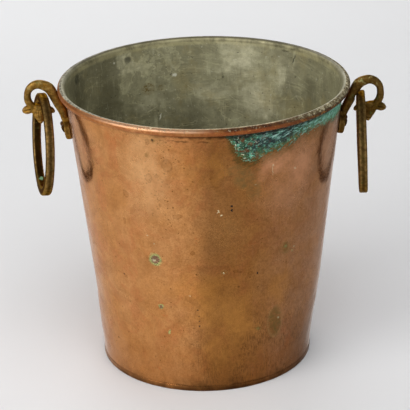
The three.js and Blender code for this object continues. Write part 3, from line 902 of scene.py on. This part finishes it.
def lathe(profile, segments, warp, loop):
    """Points and faces of a profile of (radius, height) turned about Z and then warped.
    A loop profile closes on itself, and an open one closes on the axis at both ends."""
    rows = len(profile)
    angles = np.arange(segments) * 2 * math.pi / segments
    radius = np.repeat(np.array(profile)[:, 0], segments)
    height = np.repeat(np.array(profile)[:, 1], segments)
    angle = np.tile(angles, rows)
    points = warp(angle, radius, height)
    faces = []
    for row in range(rows if loop else rows - 1):
        here = row * segments
        there = ((row + 1) % rows) * segments
        for column in range(segments):
            after = (column + 1) % segments
            faces.append((here + column, here + after, there + after, there + column))
    if not loop:
        faces.append(tuple(reversed(range(segments))))
        faces.append(tuple(range((rows - 1) * segments, rows * segments)))
    return points, faces


def line(start, end, steps):
    """Points from start towards end, without the end."""
    return [(start[0] + (end[0] - start[0]) * i / steps,
             start[1] + (end[1] - start[1]) * i / steps) for i in range(steps)]


def arc(middle, size, start, end, steps):
    """Points of an arc, with angles in degrees from the outward direction."""
    found = []
    for i in range(steps + 1):
        angle = math.radians(start + (end - start) * i / steps)
        found.append((middle[0] + size * math.cos(angle), middle[1] + size * math.sin(angle)))
    return found


def out_of_true(angle, radius, height):
    """The places of points of the pot, a little out of true as in the real one."""
    wave = np.zeros_like(angle)
    for around, up, size, phase in WAVES:
        rise = 2 * math.pi * up * height / POT_HEIGHT
        wave += size * np.cos(around * angle + phase) * np.cos(rise + 2 * phase)
    free = smooth(height, 0.006, 0.05) * (1 - smooth(height, 0.19, 0.225))
    flare = FOOT_FLARE * (1 - smooth(height, 0, FLARE_ENDS_AT))
    radius = radius + wave * free + flare * smooth(radius, 0, BASE_RADIUS)
    shift = FOOT_SHIFT * (1 - smooth(height, SHIFT_FULL_BELOW, SHIFT_ENDS_AT))
    return np.stack([radius * np.cos(angle) - shift, radius * np.sin(angle), height], axis=1)


def make_wall():
    tangent = 180 - math.degrees(WALL_LEAN)
    middle = (BEAD_RADIUS, BEAD_HEIGHT)
    crown = 96
    curl_edge = -124
    sheet = WALL_SHEET / math.cos(WALL_LEAN)
    shoulder = arc(middle, BEAD_SIZE, tangent, crown, 8)
    lining = line((FOOT_RADIUS - sheet, WALL_FOOT), shoulder[0], 110) + shoulder
    bead = arc(middle, BEAD_SIZE, crown, curl_edge, 24)[1:]
    curl = arc(middle, BEAD_HOLE, curl_edge, tangent, 24)
    outside = line(curl[-1], (FOOT_RADIUS, WALL_FOOT), 130)[1:] + [(FOOT_RADIUS, WALL_FOOT)]
    profile = lining + bead + curl + outside
    points, faces = lathe(profile, POT_STEPS, out_of_true, loop=True)
    inside_rows = len(lining) - 1
    choice = [1 if i // POT_STEPS < inside_rows else 0 for i in range(len(faces))]
    return mesh_object("wall_skin", points, faces, [copper, tin], choice)


def make_base_pan():
    """The pan's edge is hammered to a feather against the wall."""
    corner = (wall_outer(PAN_CORNER) + PAN_STAND_OFF - PAN_CORNER, PAN_CORNER)
    seam = wall_outer(PAN_EDGE_HEIGHT) + LAP_GAP
    under = line((1 * MM, 0), (corner[0], 0), 40)
    outside = arc(corner, PAN_CORNER, -90, 0, 8)
    outside += line(outside[-1], (seam + PAN_LIP, PAN_EDGE_HEIGHT), 8)[1:]
    outside += [(seam + PAN_LIP, PAN_EDGE_HEIGHT), (seam, PAN_EDGE_HEIGHT)]
    inner_foot = (wall_outer(PAN_SHEET) + LAP_GAP, PAN_SHEET)
    inside = line(outside[-1], inner_foot, 6)[1:]
    floor = line(inner_foot, (1 * MM, PAN_SHEET), 40) + [(1 * MM, PAN_SHEET)]
    profile = under + outside + inside + floor
    points, faces = lathe(profile, POT_STEPS, out_of_true, loop=False)
    outer_rows = len(under) + len(outside) + len(inside) - 1
    choice = [1 if outer_rows <= i // POT_STEPS < len(profile) - 1 else 0 for i in range(len(faces))]
    choice[-1] = 1
    return mesh_object("base_pan_skin", points, faces, [copper, tin], choice)


def mark_edges(made, spread, size):
    """Stores how far each point stands proud of its neighbours as the attribute edge:
    0.5 on a flat, more on a ridge and less in a hollow."""
    mesh = made.data
    count = len(mesh.vertices)
    place = rows_of(mesh, "co")
    normal = rows_of(mesh, "normal")
    pairs = np.zeros(len(mesh.edges) * 2, dtype=np.int32)
    mesh.edges.foreach_get("vertices", pairs)
    pairs = pairs.reshape(-1, 2)
    neighbours = np.bincount(pairs.ravel(), minlength=count)[:, None]

    def mean_of_neighbours(values):
        total = np.zeros_like(values)
        np.add.at(total, pairs[:, 0], values[pairs[:, 1]])
        np.add.at(total, pairs[:, 1], values[pairs[:, 0]])
        return total / neighbours

    softened = place
    for _ in range(spread):
        softened = mean_of_neighbours(softened)
    proud = np.einsum("ij,ij->i", place - softened, normal) / size
    share = np.clip(0.5 + proud, 0, 1)[:, None]
    for _ in range(2):
        share = mean_of_neighbours(share)
    attribute = mesh.attributes.new("edge", "FLOAT", "POINT")
    attribute.data.foreach_set("value", share.ravel().astype(np.float32))


def remeshed_copy(node, name):
    """A fine, smoothed copy of a CAD node's mesh."""
    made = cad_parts[node].copy()
    made.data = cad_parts[node].data.copy()
    made.name = name
    made.parent = None
    for key in list(made.keys()):
        del made[key]
    bpy.context.scene.collection.objects.link(made)
    remesh = made.modifiers.new("remesh", "REMESH")
    remesh.mode = "VOXEL"
    remesh.voxel_size = HOOK_VOXEL
    soften = made.modifiers.new("soften", "SMOOTH")
    soften.factor = 0.5
    soften.iterations = 6
    shape = made.evaluated_get(bpy.context.evaluated_depsgraph_get())
    mesh = bpy.data.meshes.new_from_object(shape)
    made.modifiers.clear()
    made.data = mesh
    mesh.polygons.foreach_set("use_smooth", [True] * len(mesh.polygons))
    return made


def carve_head(made, head):
    """Cuts the mouth, the ears' hollows, the brows and the eyes into both faces of a head."""
    place = rows_of(made.data, "co")
    normal = rows_of(made.data, "normal")
    out = (place[:, 0] * head["side"] - head["out"]) / MM
    down = (head["top"] - place[:, 2]) / MM
    facing = smooth(np.abs(normal[:, 1]), 0.2, 0.6)
    depth = np.zeros(len(place))
    for start, end, width, deep in HEAD_GROOVES:
        along = np.array(end) - np.array(start)
        share = ((out - start[0]) * along[0] + (down - start[1]) * along[1]) / (along @ along)
        share = np.clip(share, 0, 1)
        gap = np.hypot(out - start[0] - share * along[0], down - start[1] - share * along[1])
        depth = np.maximum(depth, deep * np.exp(-((gap / width) ** 2)))
    for eye_out, eye_down in HEAD_EYES:
        gap = np.hypot(out - eye_out, down - eye_down)
        ring = 0.45 * np.exp(-(((gap - EYE_RADIUS) / 0.35) ** 2))
        bead = -0.3 * np.exp(-((gap / 0.5) ** 2))
        depth += ring + bead
    move_points(made.data, place - normal * (depth * facing * MM)[:, None])


def make_hook(side):
    made = remeshed_copy(f"{side}_hook", f"{side}_hook_casting")
    carve_head(made, HEADS[side])
    mark_edges(made, spread=14, size=1.1 * MM)
    cover(made, hook_brass[side])
    return made


def make_ring(side):
    """A bar of rounded square section turned into a ring, a little uneven from casting and wear."""
    ring = RINGS[side]
    across = RING_THICKNESS / 2 - RING_CORNER
    along = RING_WIDTH / 2 - RING_CORNER
    corners = []
    for quarter in range(4):
        x = across if quarter in (0, 3) else -across
        y = along if quarter in (0, 1) else -along
        corners.append(arc((x, y), RING_CORNER, 90 * quarter, 90 * quarter + 90, 6))
    section = []
    for corner, following in zip(corners, corners[1:] + corners[:1]):
        section += corner + line(corner[-1], following[0], 8)[1:]

    def uneven(angle, radius, height):
        phase = 1.7 if side == "left" else 4.1
        swell = 1 - 0.012 * (1 + np.cos(3 * angle + phase)) - 0.008 * (1 + np.cos(7 * angle + 2 * phase))
        radius = RING_RADIUS + (radius - RING_RADIUS) * swell
        return np.stack([radius * np.cos(angle), radius * np.sin(angle), height * swell], axis=1)

    profile = [(RING_RADIUS + x, y) for x, y in section]
    points, faces = lathe(profile, RING_STEPS, uneven, loop=True)
    made = mesh_object(f"{side}_ring_bar", points, faces, [ring_brass])
    stand = Matrix.Rotation(math.radians(90), 4, "Y")
    hang = Matrix.Translation((0, 0, -RING_RADIUS))
    lean = Matrix.Rotation(math.radians(-ring["lean"]), 4, "Y")
    place = Matrix.Translation((ring["bar"], 0, ring["height"]))
    made.data.transform(turn_of(ring["turn"]) @ place @ turn_of(ring["swivel"]) @ lean @ hang @ stand)
    made.data.update()
    mark_edges(made, spread=10, size=0.6 * MM)
    return made


def make_rivet(node):
    """A rivet whose outer head is hammered down more at its foot than at its top."""
    made = remeshed_copy(node, f"{node}_head")
    place = rows_of(made.data, "co")
    side = -1 if node.startswith("left") else 1
    square = np.array([side * math.cos(WALL_LEAN), 0, -math.sin(WALL_LEAN)])
    upward = np.array([side * math.sin(WALL_LEAN), 0, math.cos(WALL_LEAN)])
    wall_gap = SEAM_GAP / math.cos(WALL_LEAN)
    palm_seat = np.array([side * (wall_outer(RIVET_HEIGHT) + wall_gap), 0, RIVET_HEIGHT])
    proud = (place - palm_seat) @ square - PALM_THICKNESS - SEAM_GAP
    level = np.clip((place - palm_seat) @ upward / HEAD_RADIUS, -1, 1)
    share, more_at_top = RIVET_HEADS[node]
    change = np.maximum(proud, 0) * (share + more_at_top * level - 1)
    move_points(made.data, place + change[:, None] * square)
    cover(made, rivet_copper)
    return made


def dress(piece, body, node):
    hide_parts(node)
    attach(piece, body)


dress(make_wall(), "pot", "wall")
dress(make_base_pan(), "pot", "base_pan")
for side in ("left", "right"):
    dress(make_hook(side), "pot", f"{side}_hook")
    dress(make_ring(side), f"{side}_ring", f"{side}_ring")
    for number in (1, 2):
        dress(make_rivet(f"{side}_rivet_{number}"), "pot", f"{side}_rivet_{number}")

cover(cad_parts["rim_wire"], iron)


# Floor, backdrop, light and camera.

def make_sweep():
    """A pale floor that curves up into the backdrop."""
    depth_front = 3.0
    depth_back = 1.6
    bend = 0.9
    rise = 3.0
    half_width = 4.0
    path = [(-depth_front, 0), (depth_back, 0)]
    for i in range(1, 25):
        angle = math.radians(90 * i / 24)
        path.append((depth_back + bend * math.sin(angle), bend - bend * math.cos(angle)))
    path.append((depth_back + bend, rise))
    points = [(x, y, z) for y, z in path for x in (-half_width, half_width)]
    faces = [(2 * i, 2 * i + 1, 2 * i + 3, 2 * i + 2) for i in range(len(path) - 1)]
    shade = Shading("pale_paper")
    shade.colour = mix(noise(shade.place, 3, detail=2), (226, 226, 227), (230, 230, 230))
    normal = bump(noise(shade.place, 900, detail=2), 0.1 * MM, 0.1)
    paper = shade.finish(0.75, 0.0, normal)
    sweep = mesh_object("sweep", points, faces, [paper])
    sweep.visible_glossy = False
    return sweep


def area_light(name, place, aim, size, power, colour):
    data = bpy.data.lights.new(name, "AREA")
    data.shape = "RECTANGLE"
    data.size, data.size_y = size
    data.energy = power
    data.color = colour
    light = bpy.data.objects.new(name, data)
    light.location = place
    towards = Vector(aim) - Vector(place)
    light.rotation_euler = towards.to_track_quat("-Z", "Y").to_euler()
    bpy.context.scene.collection.objects.link(light)
    return light


make_sweep()
area_light("key", (-1.75, -1.35, 1.25), (0, 0, 0.12), (1.4, 1.4), 27, (1, 0.99, 0.98))
overhead = area_light("overhead", (0.2, -1.2, 2.4), (0, 0, 0.1), (2.0, 2.0), 30.5, (1, 1, 1))
overhead.visible_glossy = False
area_light("back", (-0.3, 1.8, 1.2), (0, 1.0, 0), (1.8, 0.8), 13.5, (1, 1, 1))
area_light("low", (0.1, -1.0, 0.7), (0, -0.25, 0), (1.2, 0.6), 1.8, (0.86, 0.93, 1))


def make_world():
    """Even soft light from above. Below the horizon, where only reflections look, it is
    bright on the left and at the back, and dim in front and on the right."""
    world = bpy.data.worlds.new("studio")
    world.use_nodes = True
    direction = world.node_tree.nodes.new("ShaderNodeTexCoord").outputs["Generated"]
    x, y, z = node("ShaderNodeSeparateXYZ", {0: direction}).node.outputs
    degrees = times(calculate("ARCTAN2", x, times(y, -1)), 180 / math.pi)
    front = between(degrees, -22, 6, LEFT_GLOW, FRONT_GLOW)
    right = between(degrees, 100, 130, 0, BACK_GLOW)
    back = between(degrees, 136, 180, 0.3, LEFT_GLOW)
    below = most(front, right, back)
    background = world.node_tree.nodes["Background"]
    background.inputs["Color"].default_value = (0.97, 0.98, 1, 1)
    put(background.inputs["Strength"], blend(between(z, -0.12, 0.02), below, SKY_GLOW))
    return world


bpy.context.scene.world = make_world()

yaw = math.radians(CAMERA_YAW)
pitch = math.radians(CAMERA_PITCH)
roll = math.radians(CAMERA_ROLL)
ahead = Vector((math.sin(yaw) * math.cos(pitch), math.cos(yaw) * math.cos(pitch), -math.sin(pitch)))
level = Vector((math.cos(yaw), -math.sin(yaw), 0))
upright = level.cross(ahead)
right = math.cos(roll) * level + math.sin(roll) * upright
up = -math.sin(roll) * level + math.cos(roll) * upright
camera_data = bpy.data.cameras.new("camera")
camera_data.sensor_width = SENSOR_WIDTH
camera_data.lens = SENSOR_WIDTH * FOCAL_PIXELS / FRAME_PIXELS
camera = bpy.data.objects.new("camera", camera_data)
axes = Matrix((right, up, -ahead)).transposed().to_4x4()
camera.matrix_world = Matrix.Translation((0, -CAMERA_DISTANCE, CAMERA_HEIGHT)) @ axes
bpy.context.scene.collection.objects.link(camera)
bpy.context.scene.camera = camera
bpy.context.scene.view_settings.view_transform = "Standard"
